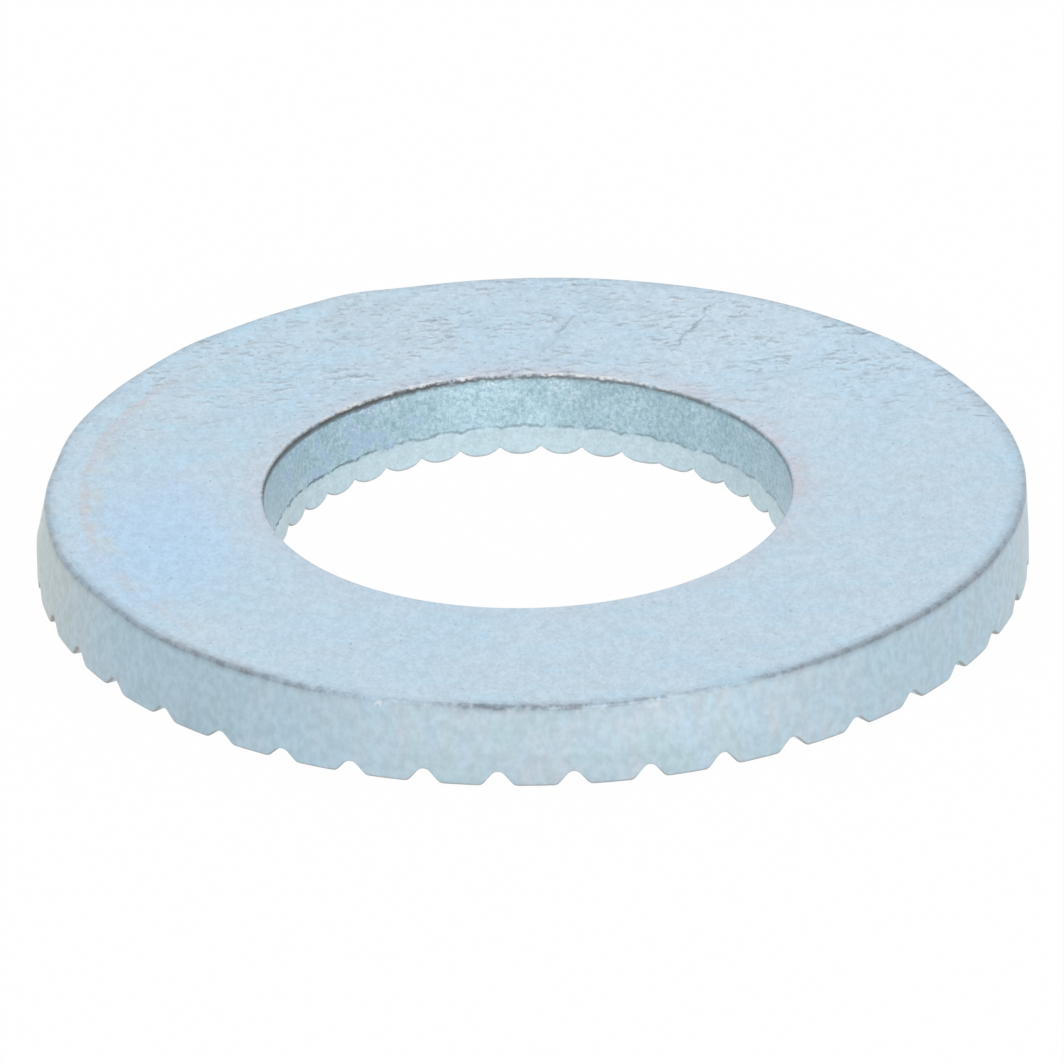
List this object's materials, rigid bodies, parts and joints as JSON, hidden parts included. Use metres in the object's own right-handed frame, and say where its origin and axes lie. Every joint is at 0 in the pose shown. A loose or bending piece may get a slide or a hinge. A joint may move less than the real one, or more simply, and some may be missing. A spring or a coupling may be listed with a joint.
{
  "type": "toothed lock washer",
  "caption": "Flat steel lock washer, bright zinc plated, with one plain face and radial teeth coined into the other to grip under a nut.",
  "frame": {"origin": "centre of the bore, halfway through the thickness", "axes": "+Z along the bore axis, out of the plain face; the teeth point along -Z; a land crosses the -Y direction"},
  "size_m": [0.0244, 0.0244, 0.002],
  "materials": {
    "zinc_plate": "bright zinc plate with a blue passivate, matt on the sheared walls"
  },
  "bodies": {
    "root": {"washer": "zinc_plate"}
  },
  "joints": []
}
